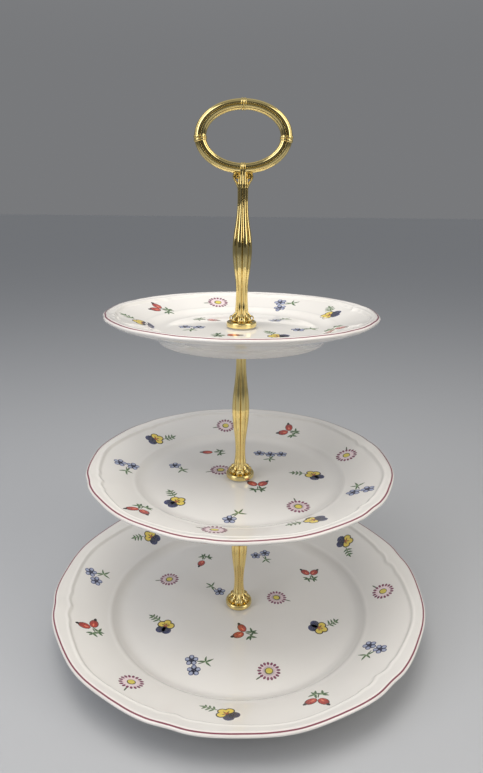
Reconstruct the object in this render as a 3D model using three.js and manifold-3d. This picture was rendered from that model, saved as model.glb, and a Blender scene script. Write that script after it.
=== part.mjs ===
// Three-tier cake stand: three scalloped porcelain plates on a reeded, gold-plated stem
// with an oval ring handle. Millimetres, +Z up, the bottom plate's foot ring stands on z = 0
// and the stem's centre line is the Z axis. The handle ring lies in the XZ plane.
import * as THREE from 'three';
import { mergeVertices } from 'three/addons/utils/BufferGeometryUtils.js';
import Module from 'manifold-3d';

const wasm = await Module();
wasm.setup();

// ---- Driving dimensions -------------------------------------------------------------------

const GAP = 0.1;                  // clearance between stacked faces
const TIER_PITCH = 105.65;        // from one foot disc to the next
const FOOT_Z = 8.8;               // underside of the lowest foot disc

const PLATES = {
  // rimR: radius of the coloured line just inside the edge; depth: line down to the well floor
  bottom: { rimR: 131.2, depth: 22.8, ringR: 93.0, ringDrop: 17.6, floor: 3.8, foot: 4.0,
    footR: 80.0, cuspAngle: 13.5 },
  middle: { rimR: 102.0, depth: 13.9, ringR: 71.0, ringDrop: 10.6, floor: 3.6, foot: 3.4,
    footR: 61.0, cuspAngle: 19.5 },
  top: { rimR: 84.9, depth: 11.3, ringR: 59.0, ringDrop: 8.4, floor: 3.5, foot: 3.4,
    footR: 52.0, cuspAngle: 15.0 },
};
const EDGE = 1.4;                 // porcelain outside the coloured line
const EDGE_THICKNESS = 2.4;
const RIM_THICKNESS = 3.0;        // sloping part of the plate
const PLATE_HOLE_R = 5.0;
const WASHER_HOLE_R = 4.4;
const LOBES = 6;                  // scallops around each plate
const LOBE_DIP = 0.0055;          // depths as a share of the radius
const CUSP_NOTCH = 0.005;
const CUSP_HALF_ANGLE = 5.5;      // degrees from the notch to the bumps beside it
const WELL_WALL = 12.0;           // slope between the flat well and the rim
const WELL_HALFWAY_RISE = 0.165;  // share of its rise that the slope has made halfway
const FOOT_RING_HALF_W = 1.5;
const PLATE_SEGMENTS = 72;

const THREAD_R = 2.5;             // M5 studs and screw
const BORE_R = 2.7;
const STUD_REACH = 8.0;           // thread inside each foot
const THREAD_CHAMFER = 0.5;
const STUD_SEAT_Z = 1.6;          // stud's lower end above the underside of a seat

const WASHER_R = 8.6;
const WASHER_T = 0.8;

const FOOT_DISC_R = 9.65;
const FOOT_DISC_T = 3.6;
const FOOT_H = 10.7;
const FOOT_BORE_H = 9.2;

const SEAT_R = 9.5;
const SEAT_T = 2.2;
const SEAT_H = 8.5;
const STEM_SEGMENTS = 16;         // two per reed
const FLUTE_DEPTH = 0.09;         // share of the column's radius

// Column radius at heights above the underside of its own foot disc
const COLUMN_PROFILE = [[10.8, 4.3], [14, 3.8], [20, 3.55], [27, 3.8], [36, 4.9], [44, 5.75],
  [51, 6.0], [58, 5.6], [67, 4.5], [76, 3.65], [84, 3.45], [91.45, 4.2]];
const TOP_COLUMN_PROFILE = [[10.8, 4.4], [16, 4.0], [23.5, 3.9], [30, 4.3], [38, 5.5],
  [47.5, 6.3], [56, 5.8], [65, 4.3], [74.5, 3.4], [85.9, 3.4]];

const RING_CENTRE = 112.1;        // above the top foot disc's underside
const RING_HALF_W = 28.7;         // outside of the ring
const RING_HALF_H = 20.3;
const RING_BAND = 6.1;            // width of the band seen from the front
const RING_DEPTH = 5.2;           // front to back
const SIDE_SWELL = 0.16;          // how much wider the band is at the sides than at the top
const RING_GROOVE = 0.86;         // share of the depth left in the groove between the two reeds
const RING_SEGMENTS = 44;
const BINDING_W = 3.0;
const BINDING_R = 3.7;
const BINDING_BORE_R = 3.35;
const BINDING_TURNS = { right: -3.5, upper: 90, left: 183.5, lower: 270 };   // degrees

const SOCKET_Z = [86.0, 94.0];    // above the top foot disc's underside
const SOCKET_R = 3.4;
const SCROLL_R = 2.5;
const SCROLL_X = 3.5;
const SCROLL_Z = 90.3;
const SCROLL_DEPTH = 4.8;

const CUP_R = 11.0;
const CUP_T = 0.8;
const BASE_WASHER_T = 0.6;
const HEAD_R = 4.6;
const HEAD_T = 1.9;
const SLOT_W = 1.1;
const SLOT_LENGTH = 6.0;
const SLOT_DEPTH = 0.6;

// ---- Materials ----------------------------------------------------------------------------

const finishes = {
  porcelain: { color: '#e9e5de', roughness: 0.15, metalness: 0 },
  gold: { color: '#e2b84f', roughness: 0.18, metalness: 1 },
  steel: { color: '#a9abad', roughness: 0.35, metalness: 1 },
  rubber: { color: '#d9d7d0', roughness: 0.6, metalness: 0 },
};

function piece(name, geometry, finish) {
  const mesh = new THREE.Mesh(geometry, new THREE.MeshStandardMaterial(finishes[finish]));
  mesh.name = name;
  return mesh;
}

// ---- Shape helpers ------------------------------------------------------------------------

const radians = THREE.MathUtils.degToRad;

// Turns a profile of [radius, height] points about Z. shape(radius, angle) may reshape each
// radius, so one helper makes plain, reeded and scalloped pieces.
function revolve(profile, segments, shape = (radius) => radius) {
  const points = profile.map(([radius, height]) => new THREE.Vector2(radius, height));
  const geometry = new THREE.LatheGeometry(points, segments);
  const { position, uv } = geometry.attributes;
  for (let i = 0; i < position.count; i += 1) {
    const step = Math.round(uv.getX(i) * segments) % segments;
    const [radius, height] = profile[Math.round(uv.getY(i) * (profile.length - 1))];
    const angle = (2 * Math.PI * step) / segments;
    const r = radius > 0 ? shape(radius, angle) : 0;
    position.setXYZ(i, r * Math.cos(angle), r * Math.sin(angle), height);
  }
  return geometry;
}

function toSolid(geometry) {
  const bare = geometry.clone();
  ['normal', 'uv'].forEach((name) => bare.deleteAttribute(name));
  const merged = mergeVertices(bare, 1e-4);
  const index = Uint32Array.from(merged.index.array);
  const mesh = new wasm.Mesh({
    numProp: 3, vertProperties: Float32Array.from(merged.attributes.position.array),
    triVerts: index,
  });
  return new wasm.Manifold(mesh);
}

function toGeometry(solid) {
  const mesh = solid.getMesh();
  const geometry = new THREE.BufferGeometry();
  geometry.setAttribute('position', new THREE.BufferAttribute(mesh.vertProperties, 3));
  geometry.setIndex(new THREE.BufferAttribute(mesh.triVerts, 1));
  geometry.computeVertexNormals();
  return geometry;
}

// ---- Plates -------------------------------------------------------------------------------

// Share of the full radius at an angle measured from a cusp: a small notch between two bumps,
// then one long shallow wave to the next notch.
function scallop(angle) {
  const lobe = 360 / LOBES;
  const degrees = THREE.MathUtils.radToDeg(angle);
  const offset = Math.abs(((degrees + lobe / 2) % lobe) - lobe / 2);
  if (offset < CUSP_HALF_ANGLE) {
    return 1 - CUSP_NOTCH * (1 + Math.cos((Math.PI * offset) / CUSP_HALF_ANGLE)) / 2;
  }
  const wave = (offset - CUSP_HALF_ANGLE) / (lobe / 2 - CUSP_HALF_ANGLE);
  return 1 - LOBE_DIP * (1 - Math.cos(2 * Math.PI * wave)) / 2;
}

function plate(name, tier) {
  const { rimR, depth, ringR, ringDrop, floor, foot, footR, cuspAngle } = PLATES[name];
  const under = -floor;
  const rimZ = depth;
  const ringZ = depth - ringDrop;
  const slope = ringDrop / (rimR - ringR);
  const onSlope = (r) => ringZ + slope * (r - ringR);
  const profile = [
    [PLATE_HOLE_R, under], [footR - 2.4, under], [footR - FOOT_RING_HALF_W, under - foot],
    [footR + FOOT_RING_HALF_W, under - foot], [footR + 3.5, under + 0.4],
    [ringR + 3, onSlope(ringR + 3) - RIM_THICKNESS - 0.6],
    [rimR - 10, onSlope(rimR - 10) - RIM_THICKNESS],
    [rimR + EDGE - 0.9, rimZ - EDGE_THICKNESS], [rimR + EDGE, rimZ - 0.8],
    [rimR + EDGE - 0.6, rimZ], [rimR - 8, onSlope(rimR - 8) + 0.7],
    [rimR - 10, onSlope(rimR - 10)], [ringR, ringZ],
    [ringR - WELL_WALL / 2, ringZ * WELL_HALFWAY_RISE], [ringR - WELL_WALL, 0], [PLATE_HOLE_R, 0],
    [PLATE_HOLE_R, under],
  ];
  const scalloped = (radius, angle) => {
    const share = THREE.MathUtils.clamp((radius - ringR) / (rimR - ringR), 0, 1);
    return radius * (1 + (scallop(angle) - 1) * share);
  };
  const mesh = piece(`${name}_plate`, revolve(profile, PLATE_SEGMENTS, scalloped), 'porcelain');
  mesh.position.z = floorTop(tier);
  mesh.rotation.z = radians(cuspAngle);
  return mesh;
}

const footZ = (tier) => FOOT_Z + tier * TIER_PITCH;
const floorTop = (tier) => footZ(tier) - WASHER_T - 2 * GAP;

// ---- Washers, studs and the base screw ----------------------------------------------------

function washer(name, radius, thickness, bottomZ, finish) {
  const profile = [[WASHER_HOLE_R, 0], [radius, 0], [radius, thickness],
    [WASHER_HOLE_R, thickness], [WASHER_HOLE_R, 0]];
  const mesh = piece(name, revolve(profile, 18), finish);
  mesh.position.z = bottomZ;
  return mesh;
}

function stud(name, bottomZ, topZ) {
  const height = topZ - bottomZ;
  const profile = [[0, 0], [THREAD_R - THREAD_CHAMFER, 0], [THREAD_R, THREAD_CHAMFER],
    [THREAD_R, height - THREAD_CHAMFER], [THREAD_R - THREAD_CHAMFER, height], [0, height]];
  const mesh = piece(name, revolve(profile, 12), 'steel');
  mesh.position.z = bottomZ;
  return mesh;
}

function baseScrew(headTopZ, tipZ) {
  const length = tipZ - headTopZ;
  const profile = [[0, -HEAD_T], [HEAD_R * 0.55, -HEAD_T], [HEAD_R * 0.92, -HEAD_T * 0.6],
    [HEAD_R, 0], [THREAD_R, 0], [THREAD_R, length - THREAD_CHAMFER],
    [THREAD_R - THREAD_CHAMFER, length], [0, length]];
  const head = toSolid(revolve(profile, 16));
  const slot = toSolid(
    new THREE.BoxGeometry(SLOT_W, SLOT_LENGTH, 2 * SLOT_DEPTH).translate(0, 0, -HEAD_T));
  const mesh = piece('base_screw', toGeometry(head.subtract(slot)), 'steel');
  mesh.position.z = headTopZ;
  return mesh;
}

// ---- Stem ---------------------------------------------------------------------------------

// Alternate steps around the stem are crests and flutes.
const reeded = (radius, angle) => {
  const step = Math.round((angle * STEM_SEGMENTS) / (2 * Math.PI));
  return step % 2 ? radius * (1 - FLUTE_DEPTH) : radius;
};

// Round disc, then a collar of reeds drawing in to the column. Blind bore from below.
function stemFoot(name, tier) {
  const profile = [[BORE_R, 0], [FOOT_DISC_R - 0.5, 0], [FOOT_DISC_R, 0.5],
    [FOOT_DISC_R, FOOT_DISC_T - 0.9], [FOOT_DISC_R - 0.8, FOOT_DISC_T], [7.2, 4.6],
    [5.6, 7.4], [4.5, FOOT_H], [0, FOOT_H], [0, FOOT_BORE_H], [BORE_R, FOOT_BORE_H], [BORE_R, 0]];
  const collar = (radius, angle) => (
    radius > BORE_R && radius < FOOT_DISC_R - 1 ? reeded(radius, angle) : radius);
  const mesh = piece(name, revolve(profile, STEM_SEGMENTS, collar), 'gold');
  mesh.position.z = footZ(tier);
  return mesh;
}

function column(name, tier, heights) {
  const outline = heights.map(([height, radius]) => [radius, height]);
  const bottom = heights[0][0];
  const top = heights[heights.length - 1][0];
  const profile = [[0, bottom], ...outline, [0, top]];
  const mesh = piece(name, revolve(profile, STEM_SEGMENTS, reeded), 'gold');
  mesh.position.z = footZ(tier);
  return mesh;
}

const seatTop = (tier, plateName) => floorTop(tier) - PLATES[plateName].floor - WASHER_T - 2 * GAP;

// Flange that carries the plate of the given tier on the column below it.
function seat(name, tier, plateName) {
  const profile = [[0, 0], [4.3, 0], [5.4, 3.4], [SEAT_R - 0.6, SEAT_H - SEAT_T],
    [SEAT_R, SEAT_H - SEAT_T + 0.6], [SEAT_R, SEAT_H], [BORE_R, SEAT_H], [BORE_R, 1.2], [0, 1.2],
    [0, 0]];
  const mesh = piece(name, revolve(profile, STEM_SEGMENTS), 'gold');
  mesh.position.z = seatTop(tier, plateName) - SEAT_H;
  return mesh;
}

// ---- Handle -------------------------------------------------------------------------------

// Point on the oval centre line and its outward normal, in the XZ plane.
function ovalFrame(turn) {
  const a = RING_HALF_W - (RING_BAND / 2) * (1 + SIDE_SWELL);
  const b = RING_HALF_H - RING_BAND / 2;
  const cos = Math.cos(turn);
  const sin = Math.sin(turn);
  const normal = new THREE.Vector2(b * cos, a * sin).normalize();
  return { point: new THREE.Vector2(a * cos, b * sin), normal };
}

const bandSwell = (turn) => 1 + SIDE_SWELL * Math.cos(turn) ** 2;

// Oval ring. Its section is flattened, with a shallow groove along the front and the back.
function ringGeometry(extra = 0) {
  const sides = 12;
  const geometry = new THREE.TorusGeometry(1, 0.3, sides, RING_SEGMENTS);
  const { position, uv } = geometry.attributes;
  for (let i = 0; i < position.count; i += 1) {
    const along = (Math.round(uv.getX(i) * RING_SEGMENTS) % RING_SEGMENTS) / RING_SEGMENTS;
    const around = Math.round(uv.getY(i) * sides) % sides;
    const { point, normal } = ovalFrame(2 * Math.PI * along);
    const phase = (2 * Math.PI * around) / sides;
    const inGroove = around % (sides / 2) === sides / 4;
    const fullness = Math.min(1, Math.abs(Math.sin(phase)) / Math.sin(Math.PI / 3));
    const front = (RING_DEPTH / 2 + extra) * Math.sign(Math.sin(phase)) * fullness
      * (inGroove ? RING_GROOVE : 1);
    const out = (RING_BAND / 2 + extra) * Math.cos(phase) * bandSwell(2 * Math.PI * along);
    position.setXYZ(i, point.x + normal.x * out, -front, point.y + normal.y * out);
  }
  return geometry;
}

function handleRing() {
  const mesh = piece('handle_ring', ringGeometry(), 'gold');
  mesh.position.z = footZ(2) + RING_CENTRE;
  return mesh;
}

// Short double-beaded sleeve around the ring at one of its four quarter points.
function binding(name, turn) {
  const w = BINDING_W / 2;
  const bore = BINDING_BORE_R * bandSwell(turn);
  const bead = BINDING_R * bandSwell(turn);
  const groove = bead - 0.2;
  const profile = [[bore, -w], [groove, -w], [bead, -w / 2], [groove, 0], [bead, w / 2],
    [groove, w], [bore, w], [bore, -w]];
  const mesh = piece(name, revolve(profile, 12), 'gold');
  const { point, normal } = ovalFrame(turn);
  mesh.position.set(point.x, 0, footZ(2) + RING_CENTRE + point.y);
  mesh.rotation.y = Math.atan2(-normal.y, normal.x);
  return mesh;
}

// Head of the top column: a shaft saddled under the ring, with a small scroll on each side.
function handleSocket() {
  const [bottom, top] = SOCKET_Z;
  const shaft = toSolid(revolve([[0, bottom], [SOCKET_R, bottom], [SOCKET_R, top], [0, top]],
    STEM_SEGMENTS, reeded));
  const scrolls = [-1, 1].map((side) => toSolid(
    new THREE.CylinderGeometry(SCROLL_R, SCROLL_R, SCROLL_DEPTH, 14)
      .translate(side * SCROLL_X, 0, SCROLL_Z)));
  const ring = toSolid(ringGeometry(GAP).translate(0, 0, RING_CENTRE));
  const bindingRoom = toSolid(
    new THREE.CylinderGeometry(BINDING_R + GAP, BINDING_R + GAP, BINDING_W + 2 * GAP, 16)
      .rotateZ(Math.PI / 2).translate(0, 0, RING_CENTRE - RING_HALF_H + RING_BAND / 2));
  const solid = scrolls.reduce((sum, scroll) => sum.add(scroll), shaft)
    .subtract(ring).subtract(bindingRoom);
  const mesh = piece('handle_socket', toGeometry(solid), 'gold');
  mesh.position.z = footZ(2);
  return mesh;
}

// ---- Assembly -----------------------------------------------------------------------------

const group = new THREE.Group();
const TIERS = ['bottom', 'middle', 'top'];

TIERS.forEach((name, tier) => {
  group.add(plate(name, tier));
  group.add(stemFoot(`${name}_foot`, tier));
  group.add(washer(`${name}_upper_washer`, WASHER_R, WASHER_T, floorTop(tier) + GAP, 'rubber'));
});

group.add(column('lower_column', 0, COLUMN_PROFILE));
group.add(column('middle_column', 1, COLUMN_PROFILE));
group.add(column('top_column', 2, TOP_COLUMN_PROFILE));

['middle', 'top'].forEach((name, index) => {
  const tier = index + 1;
  const top = seatTop(tier, name);
  group.add(seat(`${name}_seat`, tier, name));
  group.add(washer(`${name}_lower_washer`, WASHER_R, WASHER_T, top + GAP, 'rubber'));
  group.add(stud(`${name}_stud`, top - SEAT_H + STUD_SEAT_Z, footZ(tier) + STUD_REACH));
});

const baseUnder = floorTop(0) - PLATES.bottom.floor;
const cupTop = baseUnder - BASE_WASHER_T - 2 * GAP;
group.add(washer('bottom_lower_washer', WASHER_R, BASE_WASHER_T, cupTop + GAP, 'rubber'));
group.add(washer('base_cup_washer', CUP_R, CUP_T, cupTop - CUP_T, 'steel'));
group.add(baseScrew(cupTop - CUP_T - GAP, footZ(0) + STUD_REACH));

group.add(handleSocket());
group.add(handleRing());
Object.entries(BINDING_TURNS).forEach(([name, turn]) => {
  group.add(binding(`ring_binding_${name}`, radians(turn)));
});

export default group;
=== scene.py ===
"""Looks for the three-tier cake stand: glazed porcelain plates, a gold-plated reeded stem
and ring handle, and the plain steel hardware under the bottom plate. Sizes are millimetres
inside the shape functions; MM turns them into the frame's metres."""
import math

import bmesh
import bpy
from mathutils import Matrix, Vector


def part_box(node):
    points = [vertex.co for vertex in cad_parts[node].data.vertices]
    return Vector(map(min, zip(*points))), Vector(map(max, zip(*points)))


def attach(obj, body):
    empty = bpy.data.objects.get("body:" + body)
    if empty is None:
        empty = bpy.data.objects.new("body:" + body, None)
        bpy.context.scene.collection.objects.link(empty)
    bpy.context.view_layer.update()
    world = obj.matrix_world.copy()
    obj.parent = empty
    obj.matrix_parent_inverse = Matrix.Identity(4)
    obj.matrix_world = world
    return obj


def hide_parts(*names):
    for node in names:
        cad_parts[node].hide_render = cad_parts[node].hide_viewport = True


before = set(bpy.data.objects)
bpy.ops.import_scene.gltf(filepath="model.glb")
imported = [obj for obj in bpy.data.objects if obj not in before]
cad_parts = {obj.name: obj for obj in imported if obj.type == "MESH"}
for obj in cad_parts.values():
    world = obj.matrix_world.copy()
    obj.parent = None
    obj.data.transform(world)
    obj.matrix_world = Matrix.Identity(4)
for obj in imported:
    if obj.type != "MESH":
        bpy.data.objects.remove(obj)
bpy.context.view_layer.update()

MM = 0.001
TAU = 2 * math.pi


# ---- Small helpers ------------------------------------------------------------------------

def linear(hex_colour):
    """sRGB hex to linear RGBA."""
    channels = [int(hex_colour[i:i + 2], 16) / 255 for i in (1, 3, 5)]
    return tuple(c / 12.92 if c <= 0.04045 else ((c + 0.055) / 1.055) ** 2.4
                 for c in channels) + (1.0,)


def add(tree, kind, settings=None, **links):
    """Adds one node. settings sets its properties or sockets, links joins its inputs."""
    node = tree.nodes.new(kind)
    for key, value in (settings or {}).items():
        if isinstance(key, str) and hasattr(node, key):
            setattr(node, key, value)
        else:
            node.inputs[key].default_value = value
    for name, source in links.items():
        tree.links.new(source, node.inputs[name.replace("_", " ")])
    return node


def smooth(low, high, value):
    """0 below low, 1 above high, eased between."""
    t = min(1.0, max(0.0, (value - low) / (high - low)))
    return t * t * (3 - 2 * t)


def mix(a, b, t):
    return a + (b - a) * t


def finish_piece(bm, name, material, body, replaced=(), weld=1e-7, smooth_angle=40):
    """Welds, turns faces outward, scales to metres and hands the piece to the frame."""
    if weld:
        bmesh.ops.remove_doubles(bm, verts=bm.verts, dist=weld / MM)
    bmesh.ops.recalc_face_normals(bm, faces=bm.faces)
    bmesh.ops.scale(bm, verts=bm.verts, vec=(MM, MM, MM))
    mesh = bpy.data.meshes.new(name)
    bm.to_mesh(mesh)
    bm.free()
    mesh.materials.append(material)
    mesh.shade_smooth()
    mesh.set_sharp_from_angle(angle=math.radians(smooth_angle))
    piece = bpy.data.objects.new(name, mesh)
    bpy.context.scene.collection.objects.link(piece)
    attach(piece, body)
    if replaced:
        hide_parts(*replaced)
    return piece


def turned(outline, steps, closed=False):
    """A bmesh turned about Z from an outline of (radius, height) points."""
    bm = bmesh.new()
    verts = [bm.verts.new((radius, 0, height)) for radius, height in outline]
    edges = [bm.edges.new(pair) for pair in zip(verts, verts[1:])]
    if closed:
        edges.append(bm.edges.new((verts[-1], verts[0])))
    bmesh.ops.spin(bm, geom=verts + edges, cent=(0, 0, 0), axis=(0, 0, 1), angle=TAU,
                   steps=steps, use_merge=True)
    bmesh.ops.remove_doubles(bm, verts=bm.verts, dist=1e-4)
    return bm


def raise_by(bm, height):
    bmesh.ops.translate(bm, verts=bm.verts, vec=(0, 0, height))
    return bm


def arc(centre, radius, start, end, count):
    """Points on an arc, angles in degrees."""
    angles = [math.radians(mix(start, end, i / count)) for i in range(count + 1)]
    return [(centre[0] + radius * math.cos(a), centre[1] + radius * math.sin(a)) for a in angles]


def eased_curve(keys, count):
    """Monotone smooth points through (height, radius) keys, as (radius, height)."""
    points = []
    for i in range(count + 1):
        h = mix(keys[0][0], keys[-1][0], i / count)
        k = max(j for j in range(len(keys) - 1) if keys[j][0] <= h + 1e-9)
        (h0, r0), (h1, r1) = keys[k], keys[k + 1]
        before = keys[max(k - 1, 0)]
        after = keys[min(k + 2, len(keys) - 1)]
        span = h1 - h0
        m0 = (r1 - before[1]) / (h1 - before[0]) * span
        m1 = (after[1] - r0) / (after[0] - h0) * span
        t = (h - h0) / span
        radius = ((2 * t**3 - 3 * t**2 + 1) * r0 + (t**3 - 2 * t**2 + t) * m0
                  + (3 * t**2 - 2 * t**3) * r1 + (t**3 - t**2) * m1)
        points.append((radius, h))
    return points


# ---- Materials ----------------------------------------------------------------------------

def new_material(name):
    material = bpy.data.materials.new(name)
    material.use_nodes = True
    tree = material.node_tree
    return material, tree, tree.nodes["Principled BSDF"]


def glazed_porcelain(name, line_at, line_width, bisque_from, bisque_to):
    """Hard-paste porcelain, cast and glazed: clean warm white with a wet-looking gloss, a
    banded red-brown line near the edge and a dry unglazed foot ring."""
    material, tree, shader = new_material(name)
    shader.inputs["IOR"].default_value = 1.52
    shader.inputs["Specular IOR Level"].default_value = 0.5
    shader.inputs["Coat Weight"].default_value = 0.35
    shader.inputs["Coat Roughness"].default_value = 0.04
    place = add(tree, "ShaderNodeTexCoord").outputs["Object"]
    # Kiln colour drifts over a few centimetres.
    drift = add(tree, "ShaderNodeTexNoise", {"Scale": 28.0, "Detail": 2.0}, Vector=place)
    body = add(tree, "ShaderNodeMix", {"data_type": "RGBA"})
    body.inputs[6].default_value = linear("#edebe7")
    body.inputs[7].default_value = linear("#e8e5e0")
    tree.links.new(drift.outputs["Fac"], body.inputs[0])
    across = add(tree, "ShaderNodeAttribute", {"attribute_name": "across"}).outputs["Fac"]
    # The line is laid on a turning wheel with a brush, so it wavers by a tenth of a millimetre.
    waver = add(tree, "ShaderNodeTexNoise", {"Scale": 60.0, "Detail": 3.0}, Vector=place)
    off = add(tree, "ShaderNodeMath", {"operation": "MULTIPLY_ADD", 1: 0.45, 2: -0.22},
              Value=waver.outputs["Fac"])
    at = add(tree, "ShaderNodeMath", {"operation": "ADD"}, Value=across)
    tree.links.new(off.outputs[0], at.inputs[1])
    away = add(tree, "ShaderNodeMath", {"operation": "SUBTRACT", 1: line_at},
               Value=at.outputs[0])
    distance = add(tree, "ShaderNodeMath", {"operation": "ABSOLUTE"}, Value=away.outputs[0])
    line = add(tree, "ShaderNodeMapRange", {"From Min": line_width * 0.5,
               "From Max": line_width * 0.5 + 0.2, "To Min": 0.95, "To Max": 0.0},
               Value=distance.outputs[0])
    # Some of the colour bleeds into the glaze on either side.
    bleed = add(tree, "ShaderNodeMapRange", {"From Min": line_width * 0.5,
                "From Max": line_width * 0.5 + 2.2, "To Min": 0.16, "To Max": 0.0},
                Value=distance.outputs[0])
    stain = add(tree, "ShaderNodeMath", {"operation": "MAXIMUM"}, Value=line.outputs[0])
    tree.links.new(bleed.outputs[0], stain.inputs[1])
    banded = add(tree, "ShaderNodeMix", {"data_type": "RGBA"})
    banded.inputs[7].default_value = linear("#74243c")
    tree.links.new(stain.outputs[0], banded.inputs[0])
    tree.links.new(body.outputs[2], banded.inputs[6])
    # Unglazed band of the foot ring: off-white, fine and matt.
    low = add(tree, "ShaderNodeMath", {"operation": "GREATER_THAN", 1: bisque_from},
              Value=across)
    high = add(tree, "ShaderNodeMath", {"operation": "LESS_THAN", 1: bisque_to}, Value=across)
    dry = add(tree, "ShaderNodeMath", {"operation": "MULTIPLY"}, Value=low.outputs[0])
    tree.links.new(high.outputs[0], dry.inputs[1])
    surface = add(tree, "ShaderNodeMix", {"data_type": "RGBA"})
    surface.inputs[7].default_value = linear("#d9d1c4")
    tree.links.new(dry.outputs[0], surface.inputs[0])
    tree.links.new(banded.outputs[2], surface.inputs[6])
    tree.links.new(surface.outputs[2], shader.inputs["Base Color"])
    gloss = add(tree, "ShaderNodeMapRange", {"To Min": 0.09, "To Max": 0.7},
                Value=dry.outputs[0])
    tree.links.new(gloss.outputs[0], shader.inputs["Roughness"])
    # Faint unevenness of the glaze, about 6 mm from crest to crest.
    ripple = add(tree, "ShaderNodeTexNoise", {"Scale": 160.0, "Detail": 1.0}, Vector=place)
    bump = add(tree, "ShaderNodeBump", {"Strength": 0.05, "Distance": 0.0004},
               Height=ripple.outputs["Fac"])
    tree.links.new(bump.outputs[0], shader.inputs["Normal"])
    return material


def enamel_transfer():
    """On-glaze enamel fired into the glaze: painted colours, slightly thin in places."""
    material, tree, shader = new_material("onglaze_enamel")
    shader.inputs["IOR"].default_value = 1.52
    shader.inputs["Coat Weight"].default_value = 0.35
    shader.inputs["Coat Roughness"].default_value = 0.05
    shader.inputs["Roughness"].default_value = 0.16
    place = add(tree, "ShaderNodeTexCoord").outputs["Object"]
    paint = add(tree, "ShaderNodeAttribute", {"attribute_name": "paint"}).outputs["Color"]
    # Brush texture: streaks about half a millimetre apart let the white show through.
    brush = add(tree, "ShaderNodeTexNoise", {"Scale": 1700.0, "Detail": 2.0}, Vector=place)
    thin = add(tree, "ShaderNodeMapRange", {"From Min": 0.42, "From Max": 0.75, "To Min": 0.0,
               "To Max": 0.2}, Value=brush.outputs["Fac"])
    colour = add(tree, "ShaderNodeMix", {"data_type": "RGBA"})
    colour.inputs[7].default_value = linear("#e6e0d8")
    tree.links.new(thin.outputs[0], colour.inputs[0])
    tree.links.new(paint, colour.inputs[6])
    tree.links.new(colour.outputs[2], shader.inputs["Base Color"])
    return material


def polished_gold_plate():
    """Zinc die casting, polished and gold-plated: sharp reflections, pale yellow, with a
    warmer tone and a duller gloss in the patches that the polishing wheel missed."""
    material, tree, shader = new_material("polished_gold_plate")
    shader.inputs["Metallic"].default_value = 1.0
    place = add(tree, "ShaderNodeTexCoord").outputs["Object"]
    # The plating's tone drifts over about 15 mm.
    tone = add(tree, "ShaderNodeTexNoise", {"Scale": 65.0, "Detail": 1.0}, Vector=place)
    colour = add(tree, "ShaderNodeMix", {"data_type": "RGBA"})
    colour.inputs[6].default_value = linear("#efdc9c")
    colour.inputs[7].default_value = linear("#e3c982")
    tree.links.new(tone.outputs["Fac"], colour.inputs[0])
    tree.links.new(colour.outputs[2], shader.inputs["Base Color"])
    # Handling marks: duller patches 3 to 5 mm across.
    smear = add(tree, "ShaderNodeTexNoise", {"Scale": 240.0, "Detail": 0.0}, Vector=place)
    rough = add(tree, "ShaderNodeMapRange", {"From Min": 0.35, "From Max": 0.75,
                "To Min": 0.05, "To Max": 0.1}, Value=smear.outputs["Fac"])
    tree.links.new(rough.outputs[0], shader.inputs["Roughness"])
    # The cast surface is never quite flat under its polish: waves of 5 mm, a few microns high.
    bump = add(tree, "ShaderNodeBump", {"Strength": 0.2, "Distance": 0.000004},
               Height=smear.outputs["Fac"])
    tree.links.new(bump.outputs[0], shader.inputs["Normal"])
    return material


def zinc_plated_steel():
    """Turned steel with bright zinc plating: cool grey with a soft sheen."""
    material, tree, shader = new_material("zinc_plated_steel")
    shader.inputs["Metallic"].default_value = 1.0
    place = add(tree, "ShaderNodeTexCoord").outputs["Object"]
    spangle = add(tree, "ShaderNodeTexNoise", {"Scale": 700.0, "Detail": 3.0}, Vector=place)
    colour = add(tree, "ShaderNodeMix", {"data_type": "RGBA"})
    colour.inputs[6].default_value = linear("#b9bbbd")
    colour.inputs[7].default_value = linear("#9a9da1")
    tree.links.new(spangle.outputs["Fac"], colour.inputs[0])
    tree.links.new(colour.outputs[2], shader.inputs["Base Color"])
    rough = add(tree, "ShaderNodeMapRange", {"To Min": 0.22, "To Max": 0.4},
                Value=spangle.outputs["Fac"])
    tree.links.new(rough.outputs[0], shader.inputs["Roughness"])
    return material


def clear_silicone():
    """Moulded silicone washer: milky, slightly see-through and dull."""
    material, tree, shader = new_material("clear_silicone")
    shader.inputs["IOR"].default_value = 1.43
    shader.inputs["Roughness"].default_value = 0.42
    place = add(tree, "ShaderNodeTexCoord").outputs["Object"]
    cloud = add(tree, "ShaderNodeTexNoise", {"Scale": 400.0, "Detail": 2.0}, Vector=place)
    colour = add(tree, "ShaderNodeMix", {"data_type": "RGBA"})
    colour.inputs[6].default_value = linear("#cfccc4")
    colour.inputs[7].default_value = linear("#bdb9b0")
    tree.links.new(cloud.outputs["Fac"], colour.inputs[0])
    tree.links.new(colour.outputs[2], shader.inputs["Base Color"])
    return material


gold = polished_gold_plate()
steel = zinc_plated_steel()
silicone = clear_silicone()
enamel = enamel_transfer()


# ---- Plates -------------------------------------------------------------------------------

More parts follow.
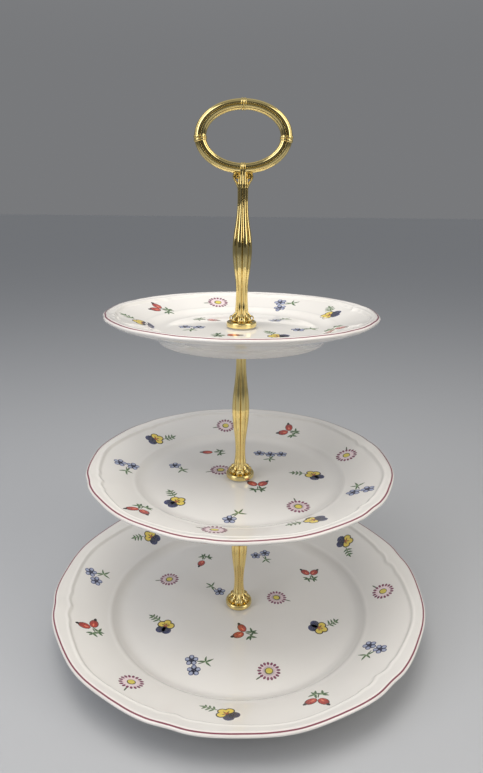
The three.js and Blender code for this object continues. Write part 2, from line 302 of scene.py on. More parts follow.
HOLE_R = 5.0
EDGE = 1.4                       # porcelain outside the coloured line
LINE_WIDTH = 0.75
LOBE = 60.0                      # degrees from one cusp of the edge to the next
LOBE_DIP = 0.0055                # depths as a share of the radius
CUSP_NOTCH = 0.005
CUSP_HALF_ANGLE = 5.5
WELL_WALL = 12.0                 # width of the slope between the flat well and the rim
WELL_CURVE = 2.6                 # how late that slope steepens towards the rim
BAND_RISE = 0.95                 # height of the raised outer band
BAND_BEAD = 0.38                 # and of the bead along its inner edge
BAND_FROM = 0.885                # where the plain rim ends, as a share of the rim's radius
BAND_SHARE = 0.926               # where that edge runs, as a share of the rim's radius
BAND_BOW = 0.016                 # how far each long arc of it bows outwards
BAND_LOBE = 0.023                # size of the small lobes beside each cusp
BAND_LOBE_HALF_ANGLE = 4.6
SHOULDER_RISE = 0.25             # soft roll where the rim meets the well
SHOULDER_W = 1.2
EDGE_RADIUS = 1.1                # rounding of the plate's edge
WALL = 3.1                       # thickness of the rim
WALL_EXTRA = 0.9                 # and how much thicker it is near the well
PLATE_STEPS = 360


def plate_spec(name, rim_r, depth, ring_r, ring_drop, floor, foot, foot_r, cusp):
    """Sizes of one plate: rim_r is the coloured line's radius and depth its height above the
    well floor; ring_r is the well's outer edge, ring_drop below the line; cusp is the direction
    of one notch of the edge in degrees."""
    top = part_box(f"{name}_plate")[1].z / MM
    return {"name": name, "rim_r": rim_r, "depth": depth, "ring_r": ring_r,
            "ring_z": depth - ring_drop, "slope": ring_drop / (rim_r - ring_r),
            "floor": floor, "foot": foot, "foot_r": foot_r, "cusp": cusp,
            "floor_z": top - depth}


plates = [
    plate_spec("bottom", rim_r=131.2, depth=22.8, ring_r=93.0, ring_drop=17.6, floor=3.8,
               foot=4.0, foot_r=80.0, cusp=13.5),
    plate_spec("middle", rim_r=102.0, depth=13.9, ring_r=71.0, ring_drop=10.6, floor=3.6,
               foot=3.4, foot_r=61.0, cusp=19.5),
    plate_spec("top", rim_r=84.9, depth=11.3, ring_r=59.0, ring_drop=8.4, floor=3.5,
               foot=3.4, foot_r=52.0, cusp=15.0),
]


def cusp_offset(plate, angle):
    """Degrees, 0 to 30, from the nearest cusp."""
    turn = math.degrees(angle) - plate["cusp"]
    return abs((turn + LOBE / 2) % LOBE - LOBE / 2)


def scallop(plate, angle):
    """Share of the full radius: a notch between two bumps, then one shallow wave."""
    offset = cusp_offset(plate, angle)
    if offset < CUSP_HALF_ANGLE:
        return 1 - CUSP_NOTCH * (1 + math.cos(math.pi * offset / CUSP_HALF_ANGLE)) / 2
    wave = (offset - CUSP_HALF_ANGLE) / (LOBE / 2 - CUSP_HALF_ANGLE)
    return 1 - LOBE_DIP * (1 - math.cos(TAU * wave)) / 2


def scallop_share(plate, radius):
    return smooth(plate["ring_r"], plate["rim_r"], radius)


def band_line(plate, angle):
    """Radius of the raised band's inner edge: long shallow arcs that end in small round
    lobes, with a cusp pointing inwards between each two."""
    offset = cusp_offset(plate, angle)
    lobe = BAND_LOBE_HALF_ANGLE
    if offset < lobe:
        round_lobe = math.sqrt(max(0.0, 1 - (1 - offset / lobe) ** 2))
        return (BAND_SHARE - BAND_LOBE * (1 - round_lobe)) * plate["rim_r"]
    wave = (offset - lobe) / (LOBE / 2 - lobe)
    dip = 0.006 * math.exp(-((offset - 7.0) / 1.6) ** 2)
    bow = BAND_BOW * (1 - math.cos(math.pi * wave)) / 2
    return (BAND_SHARE + bow - dip) * plate["rim_r"]


def plain_height(plate, r):
    """Upper surface without relief, above the well floor."""
    ring_r, ring_z, slope = plate["ring_r"], plate["ring_z"], plate["slope"]
    start = ring_r - WELL_WALL
    if r <= start:
        return 0.0
    line = ring_z + slope * (r - ring_r)
    t = min(1.0, (r - start) / (ring_r - start))
    well = ring_z * t ** WELL_CURVE
    if r <= ring_r:
        return well
    shoulder = math.exp(-((r - ring_r - SHOULDER_W) / SHOULDER_W) ** 2)
    return line + SHOULDER_RISE * shoulder * smooth(0, SHOULDER_W, r - ring_r)


def relief(plate, r, angle):
    """Raised band outside the bracket line, with a soft bead along its inner edge."""
    inside = r - band_line(plate, angle)
    band = BAND_RISE * smooth(-0.9, 0.9, inside)
    bead = BAND_BEAD * math.exp(-((inside - 1.1) / 0.9) ** 2)
    fade = 1 - smooth(plate["rim_r"] - 1.5, plate["rim_r"] + 0.3, r)
    return (band + bead) * fade


def plate_outline(plate):
    """Closed section of the plate: over the top, round the edge and back underneath."""
    ring_r, rim_r, under = plate["ring_r"], plate["rim_r"], -plate["floor"]
    slope, foot_r, foot_z = plate["slope"], plate["foot_r"], -plate["floor"] - plate["foot"]
    stations = [HOLE_R, HOLE_R + 0.4]
    stations += [mix(12, ring_r - WELL_WALL - 1, i / 8) for i in range(9)]
    stations += [mix(ring_r - WELL_WALL, ring_r - 3, i / 8) for i in range(9)]
    stations += [ring_r - 3 + 0.75 * i for i in range(1, 13)]
    stations += [mix(ring_r + 7.5, rim_r * BAND_FROM, i / 6) for i in range(1, 7)]
    band_start = rim_r * BAND_FROM
    band_count = math.ceil((rim_r - 0.4 - band_start) / 0.62)
    stations += [mix(band_start, rim_r - 0.4, i / band_count) for i in range(1, band_count + 1)]
    top = [(r, plain_height(plate, r) - (0.4 if r == HOLE_R else 0)) for r in stations]
    edge = arc((rim_r + EDGE - EDGE_RADIUS, plate["depth"] - EDGE_RADIUS), EDGE_RADIUS, 80,
               -70, 8)
    low_edge_z = plate["depth"] - 2.4

    def underside(r):
        thickness = WALL + WALL_EXTRA * (1 - smooth(ring_r, rim_r, r))
        wall = plain_height(plate, r) - thickness
        return min(wall, mix(low_edge_z - slope * (rim_r - r), wall, 0.9))

    below = [mix(rim_r - 1.0, foot_r + 5.5, i / 18) for i in range(19)]
    below = [(r, underside(r)) for r in below]
    foot_out = [(foot_r + 3.0, under - 0.35), (foot_r + 2.3, under - 1.1)]
    foot = foot_out + arc((foot_r + 0.6, foot_z + 0.9), 0.9, 0, -90, 4)
    foot += arc((foot_r - 0.6, foot_z + 0.9), 0.9, -90, -180, 4)
    inside = [(foot_r - 1.9, under - 1.0), (foot_r - 2.6, under - 0.25), (foot_r - 4.0, under)]
    floor = [(mix(foot_r - 10, HOLE_R + 0.4, i / 6), under) for i in range(7)]
    return top + edge + below + foot + inside + floor + [(HOLE_R, under + 0.4)]


def nominal(plate, x, y):
    """Radius before the scallop is applied, at a finished place."""
    r, angle = math.hypot(x, y), math.atan2(y, x)
    share = scallop_share(plate, r)
    return r / (1 + (scallop(plate, angle) - 1) * share), angle


def top_height(plate, x, y):
    r, angle = nominal(plate, x, y)
    return plate["floor_z"] + plain_height(plate, r) + relief(plate, r, angle)


def make_plate(plate):
    outline = plate_outline(plate)
    lengths = [0.0]
    for (r0, z0), (r1, z1) in zip(outline, outline[1:]):
        lengths.append(lengths[-1] + math.hypot(r1 - r0, z1 - z0))
    nearest_edge = max(range(len(outline)), key=lambda i: outline[i][0])
    bm = turned(outline, PLATE_STEPS, closed=True)
    across = bm.verts.layers.float.new("across")
    index = {(round(r, 3), round(z, 3)): i for i, (r, z) in enumerate(outline)}
    for vert in bm.verts:
        r, z = math.hypot(vert.co.x, vert.co.y), vert.co.z
        angle = math.atan2(vert.co.y, vert.co.x)
        station = index.get((round(r, 3), round(z, 3)))
        if station is None:
            station = min(range(len(outline)),
                          key=lambda i: abs(outline[i][0] - r) + abs(outline[i][1] - z))
        vert[across] = lengths[station]
        scale = 1 + (scallop(plate, angle) - 1) * scallop_share(plate, r)
        vert.co.x *= scale
        vert.co.y *= scale
        if station <= nearest_edge and z > -0.1:
            vert.co.z += relief(plate, r, angle)
    raise_by(bm, plate["floor_z"])
    at_rim = min(range(nearest_edge), key=lambda i: abs(outline[i][0] - plate["rim_r"] + 0.4))
    foot_z = -plate["floor"] - plate["foot"]
    dry = [lengths[i] for i, (r, z) in enumerate(outline) if z < foot_z + 0.55]
    name = plate["name"]
    glaze = glazed_porcelain(f"glazed_porcelain_{name}", lengths[at_rim] + 0.4, LINE_WIDTH,
                             min(dry), max(dry))
    return finish_piece(bm, f"{name}_scalloped_plate", glaze, PLATE_BODY[name],
                        [f"{name}_plate"])


PLATE_BODY = {"bottom": "base", "middle": "middle_tier", "top": "top_tier"}
for plate in plates:
    make_plate(plate)


# ---- Painted sprigs -----------------------------------------------------------------------

PAINT_LIFT = 0.05                # enamel stands this far above the glaze
PAINT_LAYER = 0.02               # and a stroke over another stroke this much more
PAINT_SINK = 0.12                # its underside is inside the glaze
STROKE_SIDES = 14
LEAF, LEAF_PALE, STALK = "#2f5233", "#8ba67a", "#46543a"
HIP, HIP_EDGE, HIP_TIP = "#8c2118", "#571610", "#1c0f10"
NAVY, NAVY_PALE, YELLOW, YELLOW_EDGE, EYE = "#10142e", "#28346a", "#e9cf52", "#3d3a1c", "#8a3a12"
MAGENTA, PINK, DISC, DISC_EDGE = "#762650", "#f0e2e2", "#dccb50", "#4f4d1c"
BLUE, BLUE_PALE, BLUE_EYE = "#46527e", "#a3acc8", "#1f2543"


def away(place, turn, distance):
    """The place at a distance in a direction given in degrees."""
    return (place[0] + distance * math.cos(math.radians(turn)),
            place[1] + distance * math.sin(math.radians(turn)))


def stroke(bm, plate, place, turn, length, width, colour, tip=None, layer=0, point=0.0,
           bend=0.0):
    """One brush stroke from place towards turn: an oval that narrows to its end by point,
    curves by bend and shades from colour to tip."""
    paint = bm.verts.layers.float_color["paint"]
    start, end = linear(colour), linear(tip or colour)
    before = set(bm.verts)
    bmesh.ops.create_circle(bm, cap_ends=True, cap_tris=True, segments=STROKE_SIDES, radius=1)
    made = [vert for vert in bm.verts if vert not in before]
    heading = math.radians(turn)
    for vert in made:
        u = (vert.co.x + 1) / 2
        along = u * length
        side = vert.co.y * width / 2 * (1 - point * u * u) + bend * length * u * u
        x = place[0] + along * math.cos(heading) - side * math.sin(heading)
        y = place[1] + along * math.sin(heading) + side * math.cos(heading)
        vert.co = (x, y, top_height(plate, x, y) - PAINT_SINK)
        vert[paint] = [mix(a, b, u * u) for a, b in zip(start, end)]
    faces = list({face for vert in made for face in vert.link_faces})
    raised = bmesh.ops.extrude_face_region(bm, geom=faces, use_keep_orig=True)["geom"]
    rise = PAINT_SINK + PAINT_LIFT + layer * PAINT_LAYER
    bmesh.ops.translate(bm, verts=[g for g in raised if isinstance(g, bmesh.types.BMVert)],
                        vec=(0, 0, rise))


def leaflets(bm, plate, place, turns, length, width=2.1):
    for i, turn in enumerate(turns):
        reach = length * (1.0, 0.8, 0.9)[i % 3]
        curl = (0.12, -0.15, 0.08)[i % 3]
        stroke(bm, plate, place, turn, reach, width, LEAF_PALE, LEAF, 1, 0.7, curl)
        stroke(bm, plate, away(place, turn, 0.4), turn, reach * 0.85, width * 0.5, LEAF, LEAF,
               2, 0.6, curl)


def leafy_stalk(bm, plate, place, turn, length, pairs):
    """A thin stalk from place towards turn, with leaves in pairs along it and one at its tip."""
    stroke(bm, plate, place, turn, length, 0.8, STALK, layer=0)
    for i in range(pairs):
        joint = away(place, turn, length * (i + 1) / (pairs + 0.4))
        leaflets(bm, plate, joint, (turn + 56, turn - 50), 4.6 - 0.5 * i, 1.8)
    leaflets(bm, plate, away(place, turn, length - 0.5), (turn + 6,), 3.8, 1.7)


def viola(bm, plate, place, turn, dark=None):
    """Two dark petals, three yellow ones and a loose stalk of leaves towards turn."""
    dark = turn + 130 if dark is None else dark
    for side in (-34, 34):
        stroke(bm, plate, away(place, dark, 0.6), dark + side, 7.4, 6.4, NAVY, NAVY_PALE, 0,
               -0.15)
    for side in (108, 180, 252):
        heading = dark + side
        stroke(bm, plate, place, heading, 6.6, 5.8, NAVY, YELLOW_EDGE, 1, -0.2)
        stroke(bm, plate, away(place, heading, 0.8), heading, 5.0, 4.3, YELLOW, YELLOW, 2, -0.2)
        stroke(bm, plate, place, heading, 3.2, 1.1, EYE, NAVY, 3, 0.5)
    stroke(bm, plate, away(place, dark + 180, -1.1), dark + 180, 2.4, 2.2, EYE, "#d98a2c", 4)
    leafy_stalk(bm, plate, away(place, turn - 8, 5.8), turn + 8, 9.0, 3)


def rosehips(bm, plate, place, turn, berries=2):
    """Red berries with dark tips, and two small sprays of leaves towards turn."""
    for side in ((-42, 42) if berries == 2 else (0,)):
        heading = turn + 180 + side
        start = away(place, heading, 1.2)
        stroke(bm, plate, start, heading, 8.4, 6.0, HIP_EDGE, HIP_EDGE, 1)
        stroke(bm, plate, away(start, heading, 0.4), heading, 7.4, 4.9, "#bd3526", HIP, 2)
        stroke(bm, plate, away(start, heading, 7.4), heading, 2.8, 2.4, HIP_TIP, layer=3,
               point=0.5)
        stroke(bm, plate, away(start, heading, 1.6), heading + 6, 3.0, 1.1, "#e98a68",
               "#d9603f", 3)
    node = away(place, turn, 2.8)
    stroke(bm, plate, place, turn, 4.6, 0.8, STALK, layer=0)
    for side in (58, -58):
        spray = away(node, turn + side, 2.4)
        leaflets(bm, plate, spray, (turn + side + 60, turn + side, turn + side - 55,
                                    turn + side + 130), 4.9)


def daisy(bm, plate, place, turn):
    """A pale pink head ringed by short purple strokes, with a short stalk towards turn."""
    petals = 17
    stroke(bm, plate, away(place, turn, 6.2), turn, 5.0, 1.0, STALK, layer=0)
    for i in range(petals):
        around = turn + 360 * i / petals
        stroke(bm, plate, away(place, around, 1.6), around, 4.6, 1.7, PINK, "#e2bccb", 0, -0.2)
        stroke(bm, plate, away(place, around, 5.0), around, 2.6, 1.7, MAGENTA, "#74284e", 1)
    stroke(bm, plate, away(place, turn, 2.8), turn + 180, 5.6, 5.4, DISC_EDGE, layer=2)
    stroke(bm, plate, away(place, turn + 20, 2.0), turn + 200, 4.4, 4.2, DISC, layer=3)


def blossom(bm, plate, place):
    for i in range(5):
        around = 72 * i + 20
        stroke(bm, plate, away(place, around, 0.3), around, 4.3, 3.4, BLUE_EYE, BLUE, 1, -0.2)
        stroke(bm, plate, away(place, around, 1.5), around, 2.6, 2.1, BLUE_PALE, BLUE_PALE, 2,
               -0.2)
    stroke(bm, plate, away(place, 0, -0.9), 0, 1.8, 1.8, BLUE_EYE, layer=3)


def forget_me_nots(bm, plate, place, turn, heads=2):
    """Small blue flowers side by side, with a spray of narrow leaves towards turn."""
    spread = {1: (0,), 2: (-4.4, 4.4), 3: (-8.4, 0, 8.4)}[heads]
    for i, offset in enumerate(spread):
        blossom(bm, plate, away(away(place, turn + 90, offset), turn, (0, 0.9, 0)[i]))
    node = away(place, turn, 9.2)
    stroke(bm, plate, away(place, turn, 3.8), turn, 5.2, 0.7, STALK, layer=0)
    leaflets(bm, plate, node, (turn, turn + 75, turn - 70, turn + 150), 6.0, 1.7)


def small_blue(bm, plate, place, turn):
    forget_me_nots(bm, plate, place, turn, 1)


def single_hip(bm, plate, place, turn):
    rosehips(bm, plate, place, turn, 1)


# Each sprig is its kind, its place on the plate (x to the right, y to the back) and the
# direction of its leaves or stalk. A viola may add the direction of its dark petals.
SPRIGS = {
    "bottom": [
        (viola, -77, 72, 203, 335), (single_hip, -30, 55, 70), (forget_me_nots, 18, 64, -60),
        (viola, 91, 64, 270, 165), (daisy, -56, 28, 190), (rosehips, 58, 35, 270),
        (forget_me_nots, -112, 11, 45), (small_blue, -15, 13.5, 135), (daisy, 29, 7, -20),
        (daisy, 108, 0, 120), (viola, -52, -25, 135, 255), (rosehips, 5, -31, -20),
        (viola, 57.5, -25, 25, 155), (rosehips, -99, -42, -45), (forget_me_nots, -30, -61, 20),
        (daisy, 20, -65, 220), (forget_me_nots, 90, -55, 220), (daisy, -64, -87, 260),
        (rosehips, 47, -97, 75), (viola, -6, -109, 150, 315), (rosehips, -44, 103, 200),
        (daisy, 4, 108, 90), (forget_me_nots, 50, 101, 300)],
    "middle": [
        (daisy, -12.5, 80, 200), (rosehips, 40, 69, -45), (viola, -66, 49, 30, 220),
        (single_hip, -20, 41, 0), (forget_me_nots, 23, 39.5, 265, 3), (daisy, 78, 23, 80),
        (forget_me_nots, -80, 5, 280), (small_blue, -47.5, 17, -50), (daisy, -14, 10.5, 200),
        (viola, 52, 4, 165, 300), (rosehips, 12, -14, 270), (viola, -40.5, -36, 110, 220),
        (forget_me_nots, 77, -34, 90), (daisy, 37, -40.5, 100), (rosehips, -59, -58, 80),
        (small_blue, -6, -57, 55), (daisy, -14, -79, 165), (viola, 43.5, -67, 190, 10)],
    "top": [
        (daisy, -18, 66, 200), (forget_me_nots, 28, 60, 0), (rosehips, -56, 36, 0),
        (single_hip, -25, 28, 160), (small_blue, 23, 27, 40), (viola, 60, 24, 80, 340),
        (forget_me_nots, -32, 2, 270), (small_blue, 36, -4, 20), (viola, -62, -8, 150, 10),
        (single_hip, -10, -22, 180), (viola, 22, -24, 110, 0), (rosehips, 57, -14, 90),
        (daisy, -36, -49, 240), (forget_me_nots, 3, -62, 100), (daisy, 40, -56, 320)],
}


def paint_plate(plate):
    name = plate["name"]
    bm = bmesh.new()
    bm.verts.layers.float_color.new("paint")
    for sprig, x, y, *directions in SPRIGS[name]:
        sprig(bm, plate, (x, y), *directions)
    return finish_piece(bm, f"{name}_painted_sprigs", enamel, PLATE_BODY[name],
                        weld=0.0)


for plate in plates:
    paint_plate(plate)


# ---- Stem ---------------------------------------------------------------------------------

REEDS = 8
REED_DEPTH = 0.27                # depth of a valley as a share of the radius
REED_STEPS = 14                  # points across one reed
STEM_STEPS = REEDS * REED_STEPS
STEM_BODY = {"bottom": "lower_stem", "middle": "middle_stem", "top": "handle_stem"}


def reed(turn):
    """Angle and share of a reed's height at a turn round a bundle of rods: each rod is a half
    ellipse, and its points crowd towards the valleys on either side."""
    step = TAU / REEDS
    first = math.floor(turn / step + 1e-6)
    share = turn / step - first
    return (first + (1 - math.cos(math.pi * share)) / 2) * step, math.sin(math.pi * share)


def reed_all(bm, share_at, beyond=0.0):
    """Presses reeds into the parts of a turned shape beyond a radius, by a share of the radius
    that may change with height. A valley faces the front."""
    for vert in bm.verts:
        radius = math.hypot(vert.co.x, vert.co.y)
        if radius <= max(beyond, 1e-4):
            continue
        angle, height = reed(math.atan2(vert.co.y, vert.co.x))
        pressed = radius * (1 - share_at(vert.co.z) * (1 - height))
        vert.co.x = pressed * math.cos(angle)
        vert.co.y = pressed * math.sin(angle)
    return bm


def sweep(bm, path, widths, thicknesses, segments=12):
    """A rounded strip along a path of (x, z) points, its width running along Y."""
    rings = []
    for i, (x, z) in enumerate(path):
        before, after = path[max(i - 1, 0)], path[min(i + 1, len(path) - 1)]
        lean = math.atan2(after[1] - before[1], after[0] - before[0])
        place = (Matrix.Translation((x, 0, z)) @ Matrix.Rotation(TAU / 4 - lean, 4, "Y")
                 @ Matrix.Diagonal((thicknesses[i], widths[i], 1, 1)))
        ends = i in (0, len(path) - 1)
        ring = bmesh.ops.create_circle(bm, cap_ends=ends, segments=segments, radius=1,
                                       matrix=place)["verts"]
        rings.append([e for e in {e for v in ring for e in v.link_edges}])
    for first, second in zip(rings, rings[1:]):
        bmesh.ops.bridge_loops(bm, edges=first + second)


COLUMN_KEYS = [(10.8, 4.3), (14, 3.8), (20, 3.55), (27, 3.8), (36, 4.9), (44, 5.75), (51, 6.0),
               (58, 5.6), (67, 4.5), (76, 3.65), (84, 3.45), (91.45, 4.2)]
TOP_COLUMN_KEYS = [(10.8, 4.4), (16, 4.0), (23.5, 3.9), (30, 4.3), (38, 5.5), (47.5, 6.3),
                   (56, 5.8), (65, 4.3), (74.5, 3.4), (85.9, 3.4)]


def make_column(name, foot_node, keys, body):
    outline = [(0, keys[0][0])] + eased_curve(keys, 80) + [(0, keys[-1][0])]
    bm = reed_all(turned(outline, STEM_STEPS), lambda height: REED_DEPTH)
    raise_by(bm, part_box(foot_node)[0].z / MM)
    return finish_piece(bm, f"{name}_reeded_column", gold, body,
                        [f"{name}_column"])


SCROLL_CENTRE = (6.05, 5.35)     # of the rolled leaves on a foot: radius and height


def scroll_rib(bm, turn):
    """One leaf of the collar: it comes out under a valley of the column, sweeps outwards and
    rolls up above the disc."""
    path = [(3.2, 9.5), (3.8, 9.0), (4.5, 8.3), (5.2, 7.55)]
    path += arc(SCROLL_CENTRE, 1.5, 98, -60, 7)
    path += [away(SCROLL_CENTRE, turn_in, radius) for turn_in, radius in
             ((-90, 1.4), (-130, 1.25), (-175, 1.05), (-220, 0.85), (-270, 0.65))]
    count = len(path) - 1
    widths = [mix(0.75, 1.3, smooth(0, 0.35, i / count)) for i in range(count + 1)]
    thicknesses = [mix(0.5, 0.32, i / count) for i in range(count + 1)]
    before = set(bm.verts)
    sweep(bm, path, widths, thicknesses)
    made = [vert for vert in bm.verts if vert not in before]
    bmesh.ops.rotate(bm, verts=made, cent=(0, 0, 0), matrix=Matrix.Rotation(turn, 3, "Z"))


def make_foot(tier):
    disc = [(2.7, 0)] + arc((8.75, 0.9), 0.9, -90, -8, 4) + arc((8.55, 2.5), 1.1, 8, 90, 6)
    disc += [(8.1, 3.35), (7.7, 3.15), (7.1, 3.2)]
    disc += [(6.3, 3.55), (5.3, 4.4), (4.75, 5.6), (4.5, 7.0), (4.4, 8.4), (4.35, 9.6),
             (4.32, 10.7), (0, 10.7), (0, 9.2), (2.7, 9.2)]
    bm = turned(disc, STEM_STEPS, closed=True)
    reed_all(bm, lambda height: REED_DEPTH * smooth(3.3, 5.2, height), beyond=3.0)
    for i in range(REEDS):
        scroll_rib(bm, TAU * i / REEDS)
    raise_by(bm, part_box(f"{tier}_foot")[0].z / MM)
    return finish_piece(bm, f"{tier}_scroll_foot", gold, STEM_BODY[tier],
                        [f"{tier}_foot"])


def make_seat(tier, body):
    outline = [(0, 0), (4.1, 0), (4.3, 0.3), (4.5, 1.2), (5.2, 3.0), (6.8, 5.0), (8.4, 6.1)]
    outline += arc((8.8, 7.0), 0.7, -80, 0, 4) + arc((9.2, 8.2), 0.3, 0, 90, 3)
    outline += [(2.7, 8.5), (2.7, 1.2), (0, 1.2)]
    bm = raise_by(turned(outline, 96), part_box(f"{tier}_seat")[0].z / MM)
    return finish_piece(bm, f"{tier}_seat_flange", gold, body, [f"{tier}_seat"])


make_column("lower", "bottom_foot", COLUMN_KEYS, "lower_stem")
make_column("middle", "middle_foot", COLUMN_KEYS, "middle_stem")
make_column("top", "top_foot", TOP_COLUMN_KEYS, "handle_stem")
for tier in STEM_BODY:
    make_foot(tier)
make_seat("middle", "lower_stem")
make_seat("top", "middle_stem")


# ---- Handle -------------------------------------------------------------------------------

RING_LOW, RING_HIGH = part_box("handle_ring")
RING_HALF_W = (RING_HIGH.x - RING_LOW.x) / 2 / MM
RING_HALF_H = (RING_HIGH.z - RING_LOW.z) / 2 / MM
RING_Z = (RING_HIGH.z + RING_LOW.z) / 2 / MM
RING_BAND = 6.1
RING_DEPTH = 5.2
LOOP_R = 100                     # the ring is first made as a circle this large, then bent
SIDE_SWELL = 0.16                # how much wider the band is at the sides than at the top
BINDING_HALF_W = 1.5


def oval(turn):
    """Point on the ring's centre line and its outward normal, as (x, z) pairs."""
    a, b = RING_HALF_W - RING_BAND / 2 * (1 + SIDE_SWELL), RING_HALF_H - RING_BAND / 2
    normal = Vector((b * math.cos(turn), a * math.sin(turn))).normalized()
    return Vector((a * math.cos(turn), b * math.sin(turn))), normal


# Grooves along each face of the ring: direction round its section in degrees from the
# outermost line, half-width in degrees and depth.
RING_GROOVES = [(50, 5, 0.2), (90, 9, 0.55), (132, 6, 0.3)]


def ring_section(swell=1.0):
    """Section across the band, as (out, front): a flattened tube with smooth rolls between
    sharp grooves, the deepest one halfway across."""
    turns = {round(360 * i / 96, 3) for i in range(96)}
    for turn, half, _ in RING_GROOVES:
        for k in range(-4, 5):
            turns |= {turn + half * k / 4, 360 - turn + half * k / 4}
    points = []
    for degrees in sorted(turns):
        folded = degrees if degrees <= 180 else 360 - degrees
        cut = 0.12 * (1 - abs(math.sin(math.radians(4 * folded))) ** 0.7)
        for turn, half, depth in RING_GROOVES:
            cut = max(cut, depth * (1 - smooth(0, half, abs(folded - turn))))
        turn = math.radians(degrees)
        points.append((math.cos(turn) * (RING_BAND / 2 - cut) * swell,
                       math.sin(turn) * (RING_DEPTH / 2 - cut) * swell))
    return points


def bend_to_oval(bm):
    """Moves a circular ring of radius LOOP_R in the XZ plane onto the oval."""
    for vert in bm.verts:
        turn = math.atan2(vert.co.z, vert.co.x)
        out = math.hypot(vert.co.x, vert.co.z) - LOOP_R
        point, normal = oval(turn)
        place = point + normal * out * (1 + SIDE_SWELL * math.cos(turn) ** 2)
        vert.co.x, vert.co.z = place.x, place.y
    return raise_by(bm, RING_Z)


def make_ring():
    bm = bmesh.new()
    verts = [bm.verts.new((LOOP_R + out, front, 0)) for out, front in ring_section()]
    edges = [bm.edges.new(pair) for pair in zip(verts, verts[1:] + verts[:1])]
    bmesh.ops.spin(bm, geom=verts + edges, cent=(0, 0, 0), axis=(0, -1, 0), angle=TAU,
                   steps=200, use_merge=True)
    bend_to_oval(bm)
    return finish_piece(bm, "oval_reeded_ring", gold, "handle_stem",
                        ["handle_ring"])


def make_binding(side, turn):
    """Double bead tied across the ring, closed at both ends."""
    step = 0.01
    ahead, behind = oval(turn + step)[0], oval(turn - step)[0]
    half = BINDING_HALF_W * 2 * step / (ahead - behind).length
    bm = bmesh.new()
    steps = 20
    rows = []
    for i in range(steps + 1):
        along = mix(-1, 1, i / steps)
        bead = abs(math.sin(math.pi * along))
        swell = 0.99 + 0.15 * math.sqrt(bead)
        angle = turn + half * along
        rows.append([bm.verts.new(((LOOP_R + out) * math.cos(angle), front,
                                   (LOOP_R + out) * math.sin(angle)))
                     for out, front in ring_section(swell)])
    loops = [[bm.edges.new(pair) for pair in zip(row, row[1:] + row[:1])] for row in rows]
    for first, second in zip(loops, loops[1:]):
        bmesh.ops.bridge_loops(bm, edges=first + second)
    for row in (rows[0], rows[-1]):
        bm.faces.new(row)
    bend_to_oval(bm)
    return finish_piece(bm, f"double_bead_{side}", gold, "handle_stem",
                        [f"ring_binding_{side}"])


make_ring()
for side, degrees in (("right", -3.5), ("upper", 90), ("left", 183.5), ("lower", 270)):
    make_binding(side, math.radians(degrees))


VOLUTE = (3.35, 90.6)            # centre of the socket's scroll


def make_socket():
    """Head of the top column: two reeds run up to the ring at the front and the back, and the
    side ones roll outwards into a scroll."""
    shaft = [(0, 84.0), (3.4, 84.0), (3.38, 86.0), (3.25, 87.6), (3.1, 89.2), (3.05, 90.8),
             (3.05, 92.4), (3.1, 93.9), (0, 94.0)]
    bm = reed_all(turned(shaft, STEM_STEPS), lambda height: REED_DEPTH)
    path = [(2.3, 82.6), (2.85, 84.4), (3.4, 85.9), (4.2, 87.3), (5.1, 88.6)]
    path += [away(VOLUTE, 30 * i - 20, mix(2.35, 0.5, i / 15)) for i in range(16)]
    count = len(path) - 1
    widths = [mix(1.2, 2.3, smooth(0, 0.3, i / count)) for i in range(count + 1)]
    thicknesses = [mix(0.75, 0.55, i / count) for i in range(count + 1)]
    for turn in (0, math.pi):
        before = set(bm.verts)
        sweep(bm, path, widths, thicknesses)
        # The scroll is cast solid: a web fills it between its turns.
        bmesh.ops.create_cone(bm, cap_ends=True, segments=24, radius1=1.9, radius2=1.9,
                              depth=2.2, matrix=Matrix.Translation((VOLUTE[0], 0, VOLUTE[1]))
                              @ Matrix.Rotation(TAU / 4, 4, "X"))
        made = [vert for vert in bm.verts if vert not in before]
        bmesh.ops.rotate(bm, verts=made, cent=(0, 0, 0), matrix=Matrix.Rotation(turn, 3, "Z"))
    raise_by(bm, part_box("top_foot")[0].z / MM)
    return finish_piece(bm, "scrolled_socket", gold, "handle_stem",
                        ["handle_socket"])


make_socket()


# ---- Hardware that keeps its CAD shape ----------------------------------------------------

def dress(node, material):
    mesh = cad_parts[node].data
    mesh.materials.clear()
    mesh.materials.append(material)


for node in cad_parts:
    if node.endswith("_washer"):
        dress(node, steel if node == "base_cup_washer" else silicone)
    elif node.endswith("_stud") or node == "base_screw":
        dress(node, steel)


# ---- Floor, light and camera --------------------------------------------------------------

FLOOR_HALF = 30.0


def make_floor():
    bm = bmesh.new()
    bmesh.ops.create_grid(bm, x_segments=1, y_segments=1, size=FLOOR_HALF)
    mesh = bpy.data.meshes.new("floor")
    bm.to_mesh(mesh)
    bm.free()
    floor = bpy.data.objects.new("floor", mesh)
    bpy.context.scene.collection.objects.link(floor)
    material, tree, shader = new_material("pale_floor")
    shader.inputs["Base Color"].default_value = linear("#b4b6b9")
    shader.inputs["Roughness"].default_value = 0.6
    mesh.materials.append(material)


def softbox(name, place, target, size, power, colour="#ffffff", mirrored=True):
    light = bpy.data.lights.new(name, "AREA")
    light.shape = "RECTANGLE"
    light.size, light.size_y = size
    light.energy = power
    light.color = linear(colour)[:3]
    lamp = bpy.data.objects.new(name, light)
    lamp.location = place
    lamp.rotation_euler = (Vector(target) - Vector(place)).to_track_quat("-Z", "Y").to_euler()
    lamp.visible_glossy = mirrored
    bpy.context.scene.collection.objects.link(lamp)


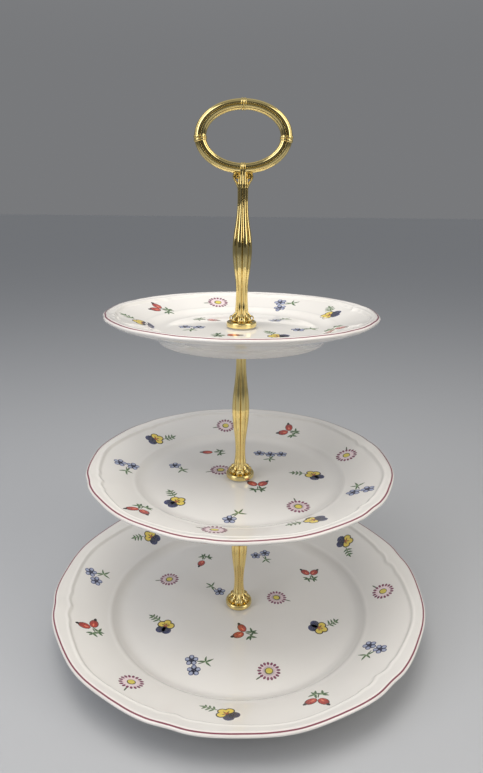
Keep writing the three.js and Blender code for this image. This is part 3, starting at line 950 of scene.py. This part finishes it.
def make_world():
    """A pale ceiling that fades to a darker room, darkest behind the viewer, so that the gold
    has something to mirror."""
    world = bpy.data.worlds.new("studio")
    world.use_nodes = True
    tree = world.node_tree
    background = tree.nodes["Background"]
    background.inputs["Color"].default_value = linear("#eef0f4")
    axes = add(tree, "ShaderNodeSeparateXYZ",
               Vector=add(tree, "ShaderNodeTexCoord").outputs["Generated"])
    ceiling = add(tree, "ShaderNodeMapRange", {"interpolation_type": "SMOOTHSTEP",
                  "From Min": 0.2, "From Max": 1.0, "To Min": 0.22, "To Max": 0.55},
                  Value=axes.outputs["Z"])
    room = add(tree, "ShaderNodeMapRange", {"interpolation_type": "SMOOTHSTEP",
               "From Min": -1.0, "From Max": -0.1, "To Min": 0.3, "To Max": 1.0},
               Value=axes.outputs["Y"])
    strength = add(tree, "ShaderNodeMath", {"operation": "MULTIPLY"}, Value=ceiling.outputs[0])
    tree.links.new(room.outputs[0], strength.inputs[1])
    tree.links.new(strength.outputs[0], background.inputs["Strength"])
    bpy.context.scene.world = world


make_floor()
make_world()
aim = (0, 0, 0.2)
softbox("left_window", (-0.85, -0.62, 0.95), aim, (0.7, 1.3), 7, "#fbfbff")
softbox("right_window", (0.9, -0.58, 0.9), aim, (0.65, 1.3), 6.5, "#fff9f0")
# Lights the tiers from close above; kept out of the gold's reflections.
softbox("overhead_softbox", (-0.05, -0.25, 0.85), aim, (0.4, 0.4), 3.6, "#fffaf2", False)

# Plain display colours, so that the finishes show as they are named.
bpy.context.scene.view_settings.view_transform = "Standard"

FRAME_LONG_SIDE = 773
FOCAL = 559.9                     # in units of one 773rd of the frame's long side
camera_data = bpy.data.cameras.new("camera")
camera_data.sensor_width = 36
camera_data.lens = FOCAL / FRAME_LONG_SIDE * 36
camera_data.clip_start = 0.01
camera = bpy.data.objects.new("camera", camera_data)
TILT = math.radians(90 - 17.42)
LEAN = math.radians(0.6)
camera.matrix_world = (Matrix.Translation((0.0004, -0.3548, 0.29096))
                       @ Matrix.Rotation(TILT, 4, "X") @ Matrix.Rotation(LEAN, 4, "Z"))
bpy.context.scene.collection.objects.link(camera)
bpy.context.scene.camera = camera
